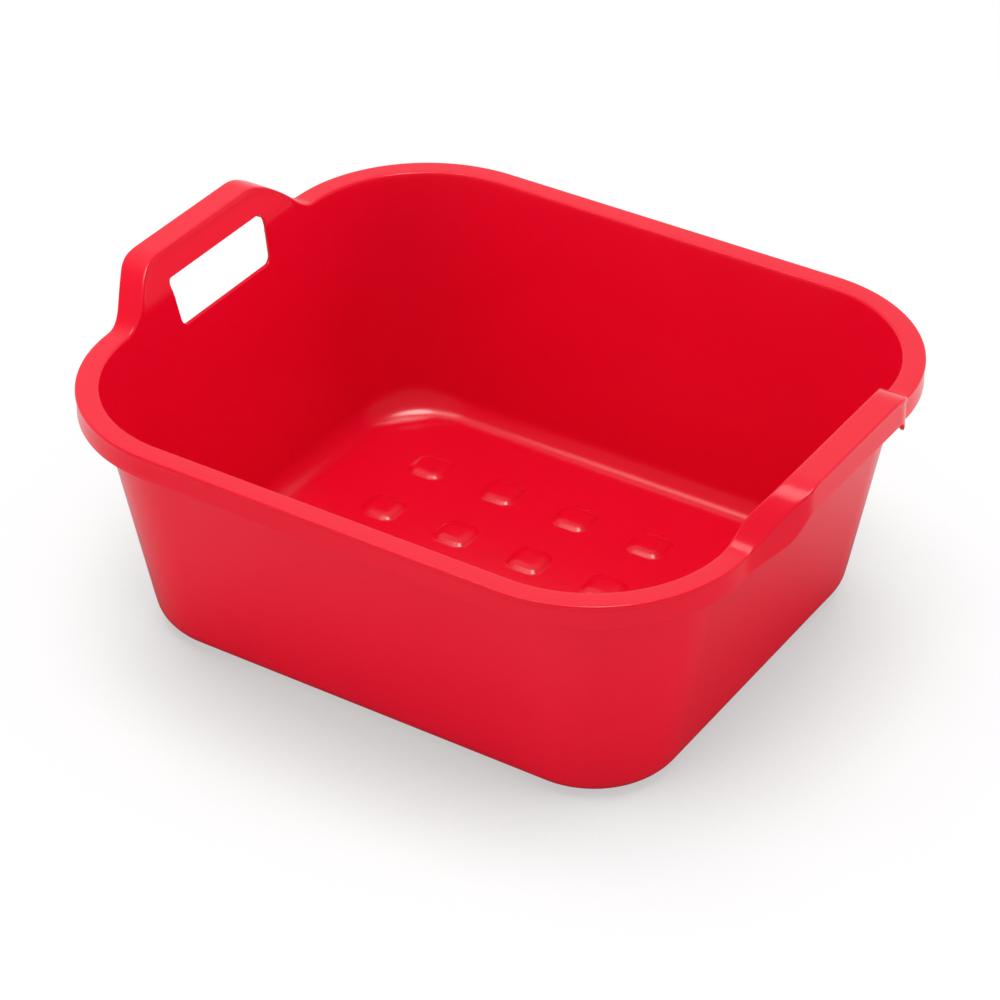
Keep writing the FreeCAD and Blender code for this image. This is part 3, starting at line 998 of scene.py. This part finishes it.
def make_studio_floor():
    """Large flat table that isn't part of the bowl."""
    bm = bmesh.new()
    bmesh.ops.create_grid(bm, x_segments=1, y_segments=1, size=FLOOR_HALF)
    studio_floor = plain_object(bm, "studio_floor")
    studio_floor.data.materials.append(white_table())
    print("Table:", 2 * FLOOR_HALF, "m square")


make_studio_floor()

# %% The backdrop

WORLD_LIGHT = 0.70
BACKDROP_SPAN = (0.05, 0.65)
BACKDROP_LEVELS = (0.08, 0.66)


def make_world():
    """Even soft light from all round, mirrored as a bright backdrop and a dim room."""
    world = bpy.data.worlds.new("white_backdrop")
    world.use_nodes = True
    tree = world.node_tree
    link = tree.links.new
    light = tree.nodes["Background"]
    light.inputs["Color"].default_value = WHITE
    place = tree.nodes.new("ShaderNodeTexCoord")
    level = tree.nodes.new("ShaderNodeMix")
    level.inputs["A"].default_value = WORLD_LIGHT
    behind = backward(tree, place.outputs["Generated"])
    link(seen_rays(tree), level.inputs["Factor"])
    link(level_range(tree, behind, BACKDROP_SPAN, BACKDROP_LEVELS, "SMOOTHSTEP"), level.inputs["B"])
    link(level.outputs["Result"], light.inputs["Strength"])
    bpy.context.scene.world = world
    print("Backdrop:", world.name)


make_world()

# %% [markdown]
# ## Lamps
# A single lamp overhead would light the colour and draw the highlights at once, but then neither could be
# set without the other. So the work is shared out. Three lamps, in front, on the right and overhead, only
# light the colour. Two more overhead are only mirrored: a small bright one draws the highlights in the
# corners and on the bumps, and a wide dim one draws those on the bends of the rim.

# %% Hang the lamps

LAMP_TARGET = Vector((0, 0, RIM_Z / 2))


def make_lamp(name, azimuth, elevation, distance, sides, power, highlight):
    """Soft oblong lamp that faces the bowl and either lights its colour or only draws highlights."""
    data = bpy.data.lights.new(name, "AREA")
    data.shape = "RECTANGLE"
    data.size, data.size_y = sides
    data.energy = power
    lamp = bpy.data.objects.new(name, data)
    lamp.visible_glossy = highlight
    lamp.visible_diffuse = not highlight
    bpy.context.scene.collection.objects.link(lamp)
    towards_lamp = direction_from(math.radians(azimuth), math.radians(elevation))
    aim(lamp, LAMP_TARGET + distance * towards_lamp, LAMP_TARGET)
    print(f"{name}: {power} W, {'highlights' if highlight else 'colour'} only")


make_lamp(
    "front_lamp",
    azimuth=-20,
    elevation=14,
    distance=1.9,
    sides=(1.0, 1.0),
    power=6.5,
    highlight=False,
)
make_lamp(
    "right_lamp",
    azimuth=114,
    elevation=14,
    distance=1.9,
    sides=(1.0, 1.0),
    power=10,
    highlight=False,
)
make_lamp(
    "top_lamp",
    azimuth=-100,
    elevation=80,
    distance=1.6,
    sides=(0.48, 0.74),
    power=12.5,
    highlight=False,
)
make_lamp(
    "hollow_lamp",
    azimuth=165,
    elevation=83,
    distance=1.6,
    sides=(0.32, 0.32),
    power=5.6,
    highlight=True,
)
make_lamp(
    "edge_lamp",
    azimuth=-92,
    elevation=72,
    distance=1.65,
    sides=(0.48, 0.6),
    power=2.6,
    highlight=True,
)
bpy.context.scene.view_settings.view_transform = "Standard"
